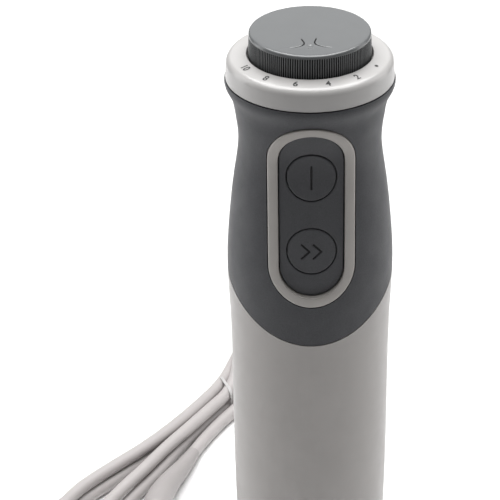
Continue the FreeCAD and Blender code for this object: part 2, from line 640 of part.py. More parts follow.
def lead_parts():
    direction = relief_direction()
    start = relief_start()
    tilt = Rotation(ABOVE, direction)
    length = "relief_length"
    relief = turned("strain_relief", [
        ("cord_radius", "0"), ("relief_root + 1.6", "0"), ("relief_root + 1.6", "1.6"),
        ("relief_root", "1.6"), ("relief_root", "8"), ("relief_tip", length), ("cord_radius", length),
    ], turn=tilt, at=start - direction * RELIEF_SET_BACK)
    node("strain_relief", relief)
    root = start - direction * RELIEF_SET_BACK
    first_bend = root + direction * (size(length) + 8)
    route_tube("mains_cord", [tuple(root), tuple(first_bend)] + LEAD_ROUTE, size("cord_radius"))
    node("cord_clamp", block(("-9", "9"), ("11", "18.4"), ("total_height - 30.8", "total_height - 22")))

    far_fold, tie_place, near_fold = (-45, 0), (10.5, 0), (200, 5)
    outline = [(-45, -27.5), (7, -8.1), (14, -8.1), (60, -8), (110, -10), (154, -10.5), (178, -19),
               (200, -22.5), (200, 32.5), (150, 24.5), (127, 21.5), (100, 19), (60, 13), (28, 11.5),
               (14, 8.1), (7, 8.1), (-45, 27.5)]
    corners = [on_hank(*point) for point in outline]
    web = Part.Face(Part.makePolygon(corners + corners[:1])).extrude(ABOVE * size("hank_height"))
    folds = [Part.makeCylinder(size("hank_fold_radius"), size(height), on_hank(*middle))
             for middle, height in ((far_fold, "far_fold_height"), (near_fold, "hank_height"))]
    hank = web.multiFuse(folds).removeSplitter()
    for route in (PLUG_ROUTE, LEAD_ROUTE[::-1]):
        hank = hank.cut(tube_room(route))
    node("cord_hank", made("cord_hank", hank))
    route_tube("plug_lead", PLUG_ROUTE, size("cord_radius"))

    tie_outer = Part.makeBox(3, 2 * 9.1, size("hank_height") + 0.9, Vector(-1.5, -9.1, 0))
    tie_inner = Part.makeBox(3, 2 * 8.1, size("hank_height"), Vector(-1.5, -8.1, 0))
    band = tie_outer.cut(tie_inner)
    swing = math.degrees(math.atan2(HANK_WAY.y, HANK_WAY.x))
    tie = made("hank_tie", band)
    tie.Placement = Placement(on_hank(*tie_place), Rotation(ABOVE, swing))
    node("hank_tie", tie)

    half, tall = "plug_half_width", "plug_height"
    front = f"{PLUG_FACE.y}"
    middle = block((f"{PLUG_FACE.x} - {half} + 13.5", f"{PLUG_FACE.x} + {half} - 13.5"),
                   (front, f"{front} + plug_length"), ("0", tall))
    sides = [rod_along_y(f"{tall} / 2", front, f"{front} + plug_length", x, f"{tall} / 2")
             for x in (f"{PLUG_FACE.x} - {half} + 13.5", f"{PLUG_FACE.x} + {half} - 13.5")]
    neck = doc.addObject("Part::Cone", "Neck")
    bind(neck, Radius1="neck_mouth", Radius2="neck_reach")
    mouth = Vector(*PLUG_ROUTE[-1])
    back = PLUG_FACE + Vector(0, size("plug_length") + 1, 0)
    neck.Height = (back - mouth).Length + 2
    neck.Placement = Placement(mouth, Rotation(ABOVE, back - mouth))
    node("plug_body", fused(middle, *sides, neck))
    node("plug_pins", group(*[
        rod_along_y("pin_radius", f"{front} - pin_length", front, f"{PLUG_FACE.x} {sign} pin_spacing / 2",
                    f"{tall} / 2") for sign in "-+"]))


def tube_room(points):
    """Space in the hank's side for the first runs of a tube that leaves it."""
    spread = size("cord_radius") + 0.1
    first, second, third = (Vector(*point) for point in points[:3])
    room = Part.makeCylinder(spread, (second - first).Length, first, second - first)
    onward = Part.makeCylinder(spread, (third - second).Length, second, third - second)
    return room.multiFuse([Part.makeSphere(spread, second), onward])


# ---- the whole object ---------------------------------------------------------------------------
def check_and_write():
    doc.recompute()
    failed = [thing.Label for thing in doc.Objects
              if {"Invalid", "Error"} & set(thing.State)]
    for name, thing in nodes.items():
        if thing.Shape.isNull() or not thing.Shape.isValid() or not thing.Shape.Solids:
            failed.append(name)
    if failed:
        raise SystemExit(f"failed pieces: {sorted(set(failed))}")
    os.makedirs("parts", exist_ok=True)
    for name, thing in nodes.items():
        thing.Shape.exportStep(f"parts/{name}.step")
    print(len(nodes), "nodes written")


dial_parts()
handle_parts()
button_parts()
motor_parts()
foot_parts()
drive_parts()
lead_parts()
check_and_write()
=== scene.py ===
"""Looks of the immersion blender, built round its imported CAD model.

Metres, +Z up, the buttons face -Y. Shapes are written in millimetres and scaled by MM.
A drop is a depth below TOP, the level that part.py calls total_height.
"""
import json
import math

import bmesh
import bpy
from mathutils import Matrix, Vector
from mathutils.geometry import delaunay_2d_cdt


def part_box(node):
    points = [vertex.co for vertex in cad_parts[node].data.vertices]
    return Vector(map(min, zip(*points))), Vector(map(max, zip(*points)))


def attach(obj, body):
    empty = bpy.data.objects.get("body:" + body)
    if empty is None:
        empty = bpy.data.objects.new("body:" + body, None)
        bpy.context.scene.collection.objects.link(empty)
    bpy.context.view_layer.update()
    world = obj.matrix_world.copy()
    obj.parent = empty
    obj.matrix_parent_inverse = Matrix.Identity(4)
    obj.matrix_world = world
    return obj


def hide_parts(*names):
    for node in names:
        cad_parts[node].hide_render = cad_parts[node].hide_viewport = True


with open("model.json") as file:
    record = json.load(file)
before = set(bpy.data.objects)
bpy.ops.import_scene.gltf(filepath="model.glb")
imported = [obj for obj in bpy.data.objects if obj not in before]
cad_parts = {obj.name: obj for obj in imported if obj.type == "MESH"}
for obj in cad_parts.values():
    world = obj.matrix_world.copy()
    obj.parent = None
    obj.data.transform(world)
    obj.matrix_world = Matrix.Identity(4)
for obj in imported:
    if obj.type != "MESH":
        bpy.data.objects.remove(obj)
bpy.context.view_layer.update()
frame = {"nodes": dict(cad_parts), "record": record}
nodes = frame["nodes"]

MM = 0.001
RING_TOP_DROP = 8.3
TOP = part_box("top_ring")[1].z / MM + RING_TOP_DROP
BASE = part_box("lower_housing")[0].z / MM


def placed(name, data):
    """A new object of the scene that holds the data."""
    made = bpy.data.objects.new(name, data)
    bpy.context.scene.collection.objects.link(made)
    return made


# ---- camera and cord ----------------------------------------------------------------------------
CAMERA_BEARING = math.radians(-1.2)
CAMERA_REACH = 699
CAMERA_RISE = 318.4
CAMERA_TURN = (30.703, 0.7955, -1.028)
CAMERA_LENS, CAMERA_SENSOR = 144, 36


def make_camera():
    """Stands in front, above and a little to the left, and looks down at the handle."""
    pitch, yaw, roll = (math.radians(angle) for angle in CAMERA_TURN)
    ahead = Vector((-math.sin(yaw) * math.cos(pitch), math.cos(yaw) * math.cos(pitch),
                    -math.sin(pitch)))
    level = Vector((math.cos(yaw), math.sin(yaw), 0))
    upright = level.cross(ahead)
    right = level * math.cos(roll) + upright * math.sin(roll)
    above = upright * math.cos(roll) - level * math.sin(roll)
    camera = placed("camera", bpy.data.cameras.new("camera"))
    turn = Matrix((right, above, -ahead)).transposed().to_4x4()
    place = Vector((CAMERA_REACH * math.sin(CAMERA_BEARING),
                    -CAMERA_REACH * math.cos(CAMERA_BEARING), TOP + CAMERA_RISE)) * MM
    camera.matrix_world = Matrix.Translation(place) @ turn
    camera.data.sensor_width = CAMERA_SENSOR
    camera.data.lens = CAMERA_LENS
    camera.data.clip_start = 0.05
    camera.data.clip_end = 50
    bpy.context.scene.camera = camera


CORD_RADIUS = 3.8
RELIEF_TILT = math.radians(37)
RELIEF_WAY = Vector((0, math.cos(RELIEF_TILT), -math.sin(RELIEF_TILT)))
RELIEF_ROOT = Vector((0, 26.8, TOP - 32)) - RELIEF_WAY * 5
RELIEF_LENGTH = 38
LEAD_ROUTE = [
    (0, 86, 317), (1, 93.5, 270), (0.5, 94.5, 218), (1.5, 97, 165), (1, 102, 114), (0, 113, 68),
    (-2, 132, 32), (-5, 162, 9), (-8, 198, 3.8), (-12, 236, 3.8), (-16.5, 272, 3.8),
    (-17, 307, 3.8), (-10, 339, 3.8), (4, 368, 3.8),
]
PLUG_ROUTE = [(-61.5, 291.5, 4.2), (-69.8, 268, 6), (-80, 244, 9), (-84.5, 222, 12),
              (-84.5, 203, 13.5)]
PLUG_FACE = Vector((-84.5, 171, 13.5))
HANK_TIE = Vector((-39.7, 349, 0))
HANK_WAY = Vector((-0.6, -0.8, 0))
HANK_RIGHT = Vector((0.8, -0.6, 0))
FAR_FOLD, NEAR_FOLD = (-45, 0), (198, 10)
FOLD_RADIUS = 23.6
LAYER = 2 * CORD_RADIUS


def on_hank(along, across, height):
    """A point by its distance along the hank from the tie, to its right, and above the floor."""
    return tuple(HANK_TIE + HANK_WAY * along + HANK_RIGHT * across + Vector((0, 0, height)))


def fold(middle, outward, from_left, flares, heights, lead_in=True):
    """A turn of the lead at an end of the hank. The runs into it and out of it open by the two
    flares, in degrees."""
    into, onward = (math.radians(flare) for flare in flares)
    corners = 8
    bend = (math.pi + into + onward) / corners
    half_side = FOLD_RADIUS * math.tan(bend / 2)
    reach = FOLD_RADIUS / math.cos(bend / 2)
    places = []
    if lead_in:
        places.append((-FOLD_RADIUS * math.sin(into) - half_side * math.cos(into),
                       FOLD_RADIUS * math.cos(into) - half_side * math.sin(into)))
    for corner in range(corners):
        angle = bend * (corner + 0.5) - into
        places.append((reach * math.sin(angle), reach * math.cos(angle)))
    places.append((-FOLD_RADIUS * math.sin(onward) - half_side * math.cos(onward),
                   half_side * math.sin(onward) - FOLD_RADIUS * math.cos(onward)))
    side = -1 if from_left else 1
    start, end = heights
    return [on_hank(middle[0] + outward * out, middle[1] + side * aside,
                    start + (end - start) * index / (len(places) - 1))
            for index, (out, aside) in enumerate(places)]


def hank_points():
    """The four runs between the folds, then the run that leaves for the plug."""
    low, high, third = CORD_RADIUS, CORD_RADIUS + LAYER, CORD_RADIUS + 2 * LAYER
    under_left = [(-12, -12.3, low), (3, -6.9, low), (17, -4.6, low), (40, -2, low),
                  (70, -0.8, low), (95, -0.6, low), (120, -2.4, low), (142, -4.5, low),
                  (162, -5.2, low)]
    under_right = [(170, 25.7, low), (148, 20.5, low), (124, 17.6, low), (97, 14.4, low),
                   (60, 7.6, low), (34, 5, low), (17, 4.4, low), (3, 6.9, low), (-12, 12.3, low)]
    over_left = [(-12, -12.3, high), (3, -6.9, high), (17, -4.2, high), (40, -2, high),
                 (66, -0.8, high), (91, -1.6, high), (112, -4.2, high), (132, -6.3, high),
                 (147, -6.3, high), (160, -4, high), (174, -7.8, high)]
    over_middle = [(170, 24.6, high), (150, 17, high), (128, 13.9, high), (103, 11.8, high),
                   (80, 8.8, high), (56, 7.4, high), (32, 5.4, high), (14, 4.4, high),
                   (-2, -0.8, high + 4), (-16, -9.4, third)]
    leaving = [(-24, 20, third), (-8, 17, third - 4), (5, 14.2, low + 5), (18, 12.6, low + 0.6),
               (32, 12.8, low)]

    def run(points):
        return [on_hank(*point) for point in points]

    return (fold(FAR_FOLD, -1, False, (0, 21), (low, low), lead_in=False) + run(under_left)
            + fold(NEAR_FOLD, 1, True, (15, 17), (low, low)) + run(under_right)
            + fold(FAR_FOLD, -1, False, (21, 21), (high, high)) + run(over_left)
            + fold(NEAR_FOLD, 1, True, (15, 19), (high, high)) + run(over_middle)
            + fold(FAR_FOLD, -1, True, (32, 11), (third, third)) + run(leaving))


def make_cord():
    """The mains lead: one smooth line from inside its relief to inside the plug."""
    route = [tuple(RELIEF_ROOT), tuple(RELIEF_ROOT + RELIEF_WAY * (RELIEF_LENGTH + 8))]
    route += LEAD_ROUTE + hank_points() + PLUG_ROUTE
    curve = bpy.data.curves.new("mains_lead", "CURVE")
    curve.dimensions = "3D"
    spline = curve.splines.new("NURBS")
    spline.points.add(len(route) - 1)
    for place, point in zip(spline.points, route):
        place.co = (*(value * MM for value in point), 1)
    spline.order_u = 3
    spline.use_endpoint_u = True
    spline.resolution_u = 10
    curve.bevel_depth = CORD_RADIUS * MM
    curve.bevel_resolution = 8
    curve.use_fill_caps = True
    return placed("mains_lead", curve)


make_camera()
mains_lead = make_cord()


# ---- materials ----------------------------------------------------------------------------------
LOW_NOISE, HIGH_NOISE = 0.3, 0.7


class Finish:
    """A Principled material whose colour, roughness and bump are textured in object space."""

    def __init__(self, name, colour, roughness, **sockets):
        self.material = bpy.data.materials.new(name)
        self.material.use_nodes = True
        self.nodes = self.material.node_tree.nodes
        self.links = self.material.node_tree.links
        self.shader = self.nodes["Principled BSDF"]
        self.shader.inputs["Base Color"].default_value = (*colour, 1)
        self.shader.inputs["Roughness"].default_value = roughness
        for socket, value in sockets.items():
            self.shader.inputs[socket.replace("_", " ")].default_value = value
        self.colour = colour
        self.roughness = roughness
        self.height = None

    def node(self, kind, **values):
        """A new shader node with these settings."""
        made = self.nodes.new(kind)
        for name, value in values.items():
            setattr(made, name, value)
        return made

    def space(self, stretch=(1, 1, 1)):
        """Object coordinates, squeezed along each axis by stretch."""
        source = self.node("ShaderNodeTexCoord")
        mapping = self.node("ShaderNodeMapping")
        mapping.inputs["Scale"].default_value = stretch
        self.links.new(source.outputs["Object"], mapping.inputs["Vector"])
        return mapping.outputs["Vector"]

    def noise(self, size, detail=3, stretch=(1, 1, 1)):
        """Noise whose features are about size millimetres across."""
        made = self.node("ShaderNodeTexNoise")
        made.inputs["Scale"].default_value = 1 / (size * MM)
        made.inputs["Detail"].default_value = detail
        made.inputs["Roughness"].default_value = 0.5
        self.links.new(self.space(stretch), made.inputs["Vector"])
        return made.outputs["Fac"]

    def bands(self, size):
        """Nearly even level bands about size millimetres apart."""
        made = self.node("ShaderNodeTexWave", bands_direction="Z")
        made.inputs["Scale"].default_value = 1 / (size * MM) / 3.2
        made.inputs["Distortion"].default_value = 0.3
        self.links.new(self.space(), made.inputs["Vector"])
        return made.outputs["Fac"]

    def mottled(self, value, amount):
        """Colour that varies about its own tone by amount."""
        ramp = self.node("ShaderNodeValToRGB")
        darker, lighter = ramp.color_ramp.elements
        darker.position, lighter.position = LOW_NOISE, HIGH_NOISE
        darker.color = (*(tone * (1 - amount) for tone in self.colour), 1)
        lighter.color = (*(min(1, tone * (1 + amount)) for tone in self.colour), 1)
        self.links.new(value, ramp.inputs["Fac"])
        self.links.new(ramp.outputs["Color"], self.shader.inputs["Base Color"])
        return self

    def rubbed(self, value, amount):
        """Roughness that varies about its own value by amount."""
        spread = self.node("ShaderNodeMapRange")
        for name, number in (("From Min", LOW_NOISE), ("From Max", HIGH_NOISE),
                             ("To Min", self.roughness - amount),
                             ("To Max", self.roughness + amount)):
            spread.inputs[name].default_value = number
        self.links.new(value, spread.inputs["Value"])
        self.links.new(spread.outputs["Result"], self.shader.inputs["Roughness"])
        return self

    def bumped(self, value, depth):
        """Bumps of a depth in millimetres, on top of those made before."""
        bump = self.node("ShaderNodeBump")
        bump.inputs["Distance"].default_value = depth * MM
        bump.inputs["Strength"].default_value = 1
        self.links.new(value, bump.inputs["Height"])
        if self.height is not None:
            self.links.new(self.height, bump.inputs["Normal"])
        self.height = bump.outputs["Normal"]
        self.links.new(self.height, self.shader.inputs["Normal"])
        return self


def moulded(name, colour, roughness, grain=0.5, depth=0.01, rub=0.05, **sockets):
    """Injection-moulded plastic: slight colour drift, uneven gloss and a fine grain."""
    finish = Finish(name, colour, roughness, **sockets)
    finish.mottled(finish.noise(9), 0.02)
    finish.rubbed(finish.noise(5, detail=4), rub)
    finish.bumped(finish.noise(grain, detail=2), depth)
    return finish.material


def soft_touch(name, colour, roughness, speckle, depth):
    """Rubber-like lacquer with fine speckles."""
    finish = Finish(name, colour, roughness, Sheen_Weight=0.12, Sheen_Roughness=0.4)
    finish.mottled(finish.noise(speckle, detail=2), 0.16)
    finish.rubbed(finish.noise(7, detail=4), 0.05)
    finish.bumped(finish.noise(speckle * 0.8, detail=2), depth)
    return finish.material


def metal(name, colour, roughness, brush=(1, 1, 0.02), line=0.35, depth=0.004, **sockets):
    """Metal with fine brush lines drawn out along the axis where brush is small."""
    finish = Finish(name, colour, roughness, Metallic=1.0, **sockets)
    lines = finish.noise(line, detail=4, stretch=brush)
    finish.mottled(finish.noise(12), 0.04)
    finish.rubbed(lines, roughness * 0.25)
    finish.bumped(lines, depth)
    return finish.material


def banded(name, colour, roughness, pitch, depth, **sockets):
    """Turns of wire or stacked sheets: fine even bands."""
    finish = Finish(name, colour, roughness, **sockets)
    stripes = finish.bands(pitch)
    finish.mottled(stripes, 0.25)
    finish.rubbed(finish.noise(3), 0.06)
    finish.bumped(stripes, depth)
    return finish.material


LOOKS = {
    "dial_grey": moulded("dial_grey", (0.120, 0.125, 0.128), 0.24, depth=0.001, rub=0.015,
                         Coat_Weight=0.3, Coat_Roughness=0.1),
    "collar_white": moulded("collar_white", (0.47, 0.46, 0.452), 0.32, depth=0.001, rub=0.015,
                            Coat_Weight=0.4, Coat_Roughness=0.15),
    "grip_dark": soft_touch("grip_dark", (0.043, 0.044, 0.050), 0.58, 0.45, 0.03),
    "panel_dark": soft_touch("panel_dark", (0.058, 0.059, 0.065), 0.6, 0.35, 0.02),
    "bezel_satin": moulded("bezel_satin", (0.365, 0.346, 0.328), 0.36, grain=0.3, depth=0.004,
                           Metallic=0.15),
    "body_grey": moulded("body_grey", (0.405, 0.385, 0.372), 0.36, grain=0.4, depth=0.006),
    "cord_grey": moulded("cord_grey", (0.465, 0.438, 0.432), 0.45, grain=0.6, depth=0.01),
    "tie_white": moulded("tie_white", (0.50, 0.49, 0.485), 0.4, depth=0.01),
    # plug_grey: darker than cord_grey; the difference is painted shade for the boot, which lies
    # beside the body.
    "plug_grey": moulded("plug_grey", (0.37, 0.348, 0.343), 0.5, grain=0.5, depth=0.02),
    "pin_brass": metal("pin_brass", (0.72, 0.70, 0.66), 0.22, brush=(1, 0.05, 1)),
    "stainless": metal("stainless", (0.62, 0.61, 0.60), 0.24, brush=(0.06, 0.06, 1), line=0.5,
                       Anisotropic=0.4),
    "bright_steel": metal("bright_steel", (0.66, 0.66, 0.66), 0.2, brush=(0.08, 1, 1), line=0.4),
    "inner_black": moulded("inner_black", (0.035, 0.035, 0.036), 0.5, depth=0.02),
    "board_green": moulded("board_green", (0.03, 0.16, 0.07), 0.35, grain=1.2, depth=0.02),
    "copper": banded("copper", (0.55, 0.22, 0.09), 0.3, 0.5, 0.12, Metallic=0.9),
    "lamination": banded("lamination", (0.22, 0.22, 0.23), 0.42, 0.6, 0.08, Metallic=0.8),
    "carbon": moulded("carbon", (0.03, 0.03, 0.032), 0.6, grain=0.3, depth=0.03),
    "damper_rubber": soft_touch("damper_rubber", (0.03, 0.03, 0.03), 0.65, 0.6, 0.03),
    "alloy": metal("alloy", (0.68, 0.68, 0.69), 0.35, brush=(1, 1, 0.1)),
    "bush_bronze": metal("bush_bronze", (0.50, 0.34, 0.18), 0.4, brush=(1, 1, 1), line=0.25,
                         depth=0.02),
    "fan_plastic": moulded("fan_plastic", (0.66, 0.63, 0.54), 0.4, depth=0.01),
    "print_dark": moulded("print_dark", (0.03, 0.03, 0.03), 0.45, depth=0.002),
    # dial_shade: near-black painted shade for the dial's rib grooves and pointer creases.
    "dial_shade": moulded("dial_shade", (0.006, 0.006, 0.006), 0.7, depth=0.01,
                          Specular_IOR_Level=0.2),
    # groove_dark: near-black painted shade in the buttons' engraved signs.
    "groove_dark": moulded("groove_dark", (0.006, 0.006, 0.007), 0.7, depth=0.01),
}
for entry in frame["record"]["subparts"]:
    painted = nodes[entry["node"]]
    painted.data.materials.clear()
    painted.data.materials.append(LOOKS[entry["material_slot"]])


# ---- mesh helpers -------------------------------------------------------------------------------
def finished(name, bm, body, slot, sharp=40, painted_shade=None):
    """The piece from its bmesh in millimetres: smooth, in its slot's material, riding on its body.
    Faces with index 1 take the second material, a near-black painted shade."""
    bmesh.ops.recalc_face_normals(bm, faces=bm.faces)
    mesh = bpy.data.meshes.new(name)
    bm.to_mesh(mesh)
    bm.free()
    mesh.transform(Matrix.Scale(MM, 4))
    mesh.shade_smooth()
    mesh.set_sharp_from_angle(angle=math.radians(sharp))
    piece = placed(name, mesh)
    for look in (slot, painted_shade) if painted_shade else (slot,):
        mesh.materials.append(LOOKS[look])
    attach(piece, body)
    return piece


def rounded(corners, steps):
    """A profile of (x, y, fillet) corners, each fillet an arc of that many steps."""
    points = []
    for index, (x, y, fillet) in enumerate(corners):
        corner = Vector((x, y))
        if fillet == 0:
            points.append(corner)
            continue
        before = (Vector(corners[index - 1][:2]) - corner).normalized()
        after = (Vector(corners[(index + 1) % len(corners)][:2]) - corner).normalized()
        half = before.angle(after) / 2
        reach = fillet / math.tan(half)
        centre = corner + (before + after).normalized() * (fillet / math.sin(half))
        first, last = corner + before * reach - centre, corner + after * reach - centre
        sweep = first.angle_signed(last)
        for step in range(steps + 1):
            points.append(centre + Matrix.Rotation(-sweep * step / steps, 2) @ first)
    return points


def directions(count):
    """The (cosine, sine) of evenly spaced directions round a circle."""
    return [(math.cos(2 * math.pi * step / count), math.sin(2 * math.pi * step / count))
            for step in range(count)]


def bridged(bm, rings, closed=False, capped=False):
    """Faces between rings of equal length, any of which may be a single vertex instead. The last
    ring meets the first if closed, and both ends are filled if capped."""
    pairs = list(zip(rings, rings[1:]))
    if closed:
        pairs.append((rings[-1], rings[0]))
    for low, high in pairs:
        steps = max(len(low), len(high))
        for step in range(steps):
            after = (step + 1) % steps
            corners = [low[step % len(low)], low[after % len(low)], high[after % len(high)],
                       high[step % len(high)]]
            face = list(dict.fromkeys(corners))
            if len(face) > 2:
                bm.faces.new(face)
    if capped:
        bm.faces.new(rings[0])
        bm.faces.new(rings[-1])


def lathe(bm, profile, steps, closed=True, swell=None):
    """Turns a profile of (radius, height) points about the Z axis. swell(step, radius, height) adds
    to the radius."""
    rings = []
    for radius, height in profile:
        if radius < 1e-6:
            rings.append([bm.verts.new((0, 0, height))])
            continue
        ring = []
        for step, (x, y) in enumerate(directions(steps)):
            out = radius + (swell(step, radius, height) if swell else 0)
            ring.append(bm.verts.new((out * x, out * y, height)))
        rings.append(ring)
    bridged(bm, rings, closed=closed)
    return rings


STATIONS = [(18.5, 33.1), (20.2, 33.1), (24.5, 31.2), (32.4, 29.3), (42.5, 28.2), (60, 30.1),
            (78, 32.2), (97, 33.5), (121.8, 32.9), (171, 32.5), (TOP - BASE, 31.8)]


def skin_radius(drop):
    """The handle's radius at a depth, as a smooth curve through its stations of (drop, radius)."""
    drop = min(max(drop, STATIONS[0][0]), STATIONS[-1][0])
    index = max(i for i, (depth, _) in enumerate(STATIONS[:-1]) if depth <= drop)
    (x0, y0), (x1, y1) = STATIONS[index], STATIONS[index + 1]

    def slope(i):
        if i <= 0 or i >= len(STATIONS) - 1:
            return 0
        (xa, ya), (xb, yb) = STATIONS[i - 1], STATIONS[i + 1]
        return (yb - ya) / (xb - xa)

    part = (drop - x0) / (x1 - x0)
    width = x1 - x0
    return (y0 * (1 + 2 * part) * (1 - part) ** 2 + y1 * part ** 2 * (3 - 2 * part)
            + slope(index) * width * part * (1 - part) ** 2
            + slope(index + 1) * width * part ** 2 * (part - 1))


def on_skin(x, drop, proud=0.0):
    """A point of the handle's front, proud of its skin by that much."""
    radius = skin_radius(drop) + proud
    return Vector((x, -math.sqrt(max(radius ** 2 - x ** 2, 0)), TOP - drop))


# ---- dial and collar ring -----------------------------------------------------------------------
DIAL_RISE = 0.7
DIAL_FACE = TOP + DIAL_RISE
RIBS = 160
RIB = (0, 0.02, 0.12, 0.5, 0.55, 0.5, 0.12, 0.02)
# Faces of these rib steps take dial_shade: painted shade in the rib grooves.
SHADED_GROOVE_STEPS = (2, 3, 4, 5)
RIB_TOP = DIAL_FACE - 1.5
CREASE_DEPTH, CREASE_WIDTH = 0.3, 0.26
# Crease faces deeper than this take dial_shade: painted shade in the pointer's creases.
SHADED_CREASE_DEPTH = 0.13


def eased(value):
    """0 below 0, 1 above 1, smooth between."""
    value = min(max(value, 0.0), 1.0)
    return value * value * (3 - 2 * value)


def line_distance(point, places):
    """The distance from a point to a broken line, and how far along it that is, from 0 to 1."""
    best = (math.inf, 0)
    for index, (start, end) in enumerate(zip(places, places[1:])):
        part = (point - start).dot(end - start) / (end - start).length_squared
        part = min(1, max(0, part))
        distance = (point - start.lerp(end, part)).length
        best = min(best, (distance, (index + part) / (len(places) - 1)))
    return best


CREASES = [[Vector(place) for place in crease] for crease in (
    ((-3.9, -6.7), (-3.0, -9.2), (-2.4, -11.4), (-2.5, -12.8), (-3.3, -14), (-4.7, -14.9),
     (-6.8, -15.6), (-9.9, -16.2), (-13.5, -16.4)),
    ((2.7, -6.2), (2, -8.8), (1.5, -11.2), (1.9, -12.8), (3.2, -14), (4.8, -15), (7, -15.7),
     (10.2, -16.2), (13.8, -16.4)),
)]


def crease_depth(x, y):
    """The depth of the pointer's two flared creases, which fade out at both ends."""
    depth = 0
    for crease in CREASES:
        distance, along = line_distance(Vector((x, y)), crease)
        depth += (CREASE_DEPTH * math.exp(-(distance / CREASE_WIDTH) ** 2) * eased(along / 0.12)
                  * eased((1 - along) / 0.5))
    return depth


def index_hollow(x, y):
    """Depth of the pointer pressed into the dial's top: the creases, the shallow slope that they
    bound, and a small dimple between them."""
    slope = 0.035 * max(0.0, -16 - y) * eased((12 - abs(x)) / 6)
    dimple = 0.3 * eased(1.5 - math.hypot(x / 1.1 + 0.15, (y + 15) / 1.7))
    return crease_depth(x, y) + slope + dimple


def make_dial():
    """A polished cap with fine ribs round its side; shade is painted into the rib grooves and the
    pointer's creases.
    """
    crown = [(radius, 0) for radius in (0.8, 2.5, 4.2, 5.8)]
    crown += [(6 + 0.16 * step, 0) for step in range(73)]
    crown += [(18.2, 0), (19, 0), (20, 0), (21.2, 0), (22.3, 0), (22.7, -0.05), (23.0, -0.16),
              (23.24, -0.36), (23.4, -0.62), (23.47, -0.95)]
    side = [(23.5, -1.3), (23.5, -1.45), (23.5, -1.6), (23.52, -1.75), (23.6, -4), (23.66, -6),
            (23.72, -8), (23.76, -10.7)]
    inner = [(21.6, -10.7), (21.6, -2.9), (5.5, -2.9), (5.5, -11.7), (3.05, -11.7), (3.05, -2.9),
             (0, -2.9)]
    steps = RIBS * len(RIB)

    def swell(step, radius, height):
        return -RIB[step % len(RIB)] if radius > 23 and height < RIB_TOP else 0

    bm = bmesh.new()
    profile = [(radius, DIAL_FACE + height) for radius, height in [(0, 0), *crown, *side, *inner]]
    rings = lathe(bm, profile, steps=steps, closed=False, swell=swell)
    for ring in rings[1:len(crown) + 2]:
        for vertex in ring:
            x, y, _ = vertex.co
            if y < -5:
                vertex.co.z -= index_hollow(x, y)
    # Faces in the pointer's creases and the rib grooves take dial_shade, near-black painted shade.
    for face in bm.faces:
        x, y, z = face.calc_center_median()
        if z > DIAL_FACE - 1:
            dark = -18 < y < -5 and abs(x) < 16 and crease_depth(x, y) > SHADED_CREASE_DEPTH
        else:
            step = int(math.atan2(y, x) % (2 * math.pi) / (2 * math.pi) * steps) % len(RIB)
            dark = math.hypot(x, y) > 22.5 and z < RIB_TOP and step in SHADED_GROOVE_STEPS
        face.material_index = int(dark)
    dial = finished("dial_cap", bm, "dial", "dial_grey", 50, "dial_shade")
    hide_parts("speed_dial")


RING_BORE, RING_SHOULDER = 24.4, 32.25
SHOULDER_DROP = 9.8
RING = [(4.7, -15, 0), (4.7, -12.5, 0), (RING_BORE, -12.5, 0), (RING_BORE, -RING_TOP_DROP, 0.35),
        (RING_SHOULDER, -SHOULDER_DROP, 3.1), (32.8, -18.1, 0.3), (29.4, -18.1, 0),
        (29.4, -21.5, 0), (27.4, -21.5, 0), (27.4, -15, 0)]
SCALE_RADIUS = 27.8
SCALE_START, SCALE_STEP = 63.9, 25.4
INK_RISE = 0.06


def ring_drop(radius):
    """The depth of the collar's sloping top at a radius."""
    fall = (SHOULDER_DROP - RING_TOP_DROP) / (RING_SHOULDER - RING_BORE)
    return RING_TOP_DROP + (radius - RING_BORE) * fall


def make_ring():
    """The glossy collar round the dial, with its broad rounded shoulder."""
    bm = bmesh.new()
    profile = [(point.x, TOP + point.y) for point in rounded(RING, 14)]
    lathe(bm, profile, steps=256)
    ring = finished("collar_ring", bm, "housing", "collar_white", 40)
    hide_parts("top_ring")


def make_numbers():
    """The dial's scale, printed on the collar: a dot, then even numbers."""
    for index, mark in enumerate(("dot", "2", "4", "6", "8", "10")):
        angle = math.radians(SCALE_START - SCALE_STEP * index)
        across, along = math.cos(angle), math.sin(angle)
        name = f"scale_mark_{mark}"
        bm = bmesh.new()
        if mark == "dot":
            bmesh.ops.create_circle(bm, cap_ends=True, segments=24, radius=0.75)
        else:
            curve = bpy.data.curves.new(name, "FONT")
            curve.body = mark
            curve.size = 4
            curve.offset = 0.1
            curve.align_x = "CENTER"
            curve.align_y = "CENTER"
            written = placed(name, curve)
            flat = bpy.data.meshes.new_from_object(written)
            bm.from_mesh(flat)
            bpy.data.objects.remove(written)
        for vertex in bm.verts:
            x, y = vertex.co.x, vertex.co.y - SCALE_RADIUS
            height = TOP - ring_drop(math.hypot(x, y)) + INK_RISE
            vertex.co = (x * across - y * along, x * along + y * across, height)
        piece = finished(name, bm, "housing", "print_dark")


# ---- bezel and buttons --------------------------------------------------------------------------
PANEL_FLATNESS = 22
PANEL_SUNK = 1.5
PANEL_HIGH, PANEL_LOW, PANEL_HALF = 30.1, 98.6, 12.45
BUTTON_SUNK = 1.3
BUTTON_RADIUS = 9.42
BUTTON_HOLE = 9.85
BUTTON_EDGE = 0.45
FLANGE_RADIUS = 11.2
SIGN_REACH = 8
STROKE_HALF, STROKE_DEPTH = 0.5, 0.35
ON_DROP, TURBO_DROP = 48.7, 79.4
ON_FLANGE, TURBO_FLANGE = -22.4, -26.2
ON_SIGN = [(Vector((0, -4.5)), Vector((0, 4.5)))]
TURBO_SIGN = [(Vector((x, y)), Vector((x + 3, 0))) for x in (-3.8, 0.8) for y in (-2.9, 2.9)]


def on_panel(x, drop, sunk):
    """A point of the panel's face, which is flatter from side to side than the skin round it."""
    radius = skin_radius(drop) + PANEL_FLATNESS - sunk
    return Vector((x, PANEL_FLATNESS - math.sqrt(radius ** 2 - x ** 2), TOP - drop))


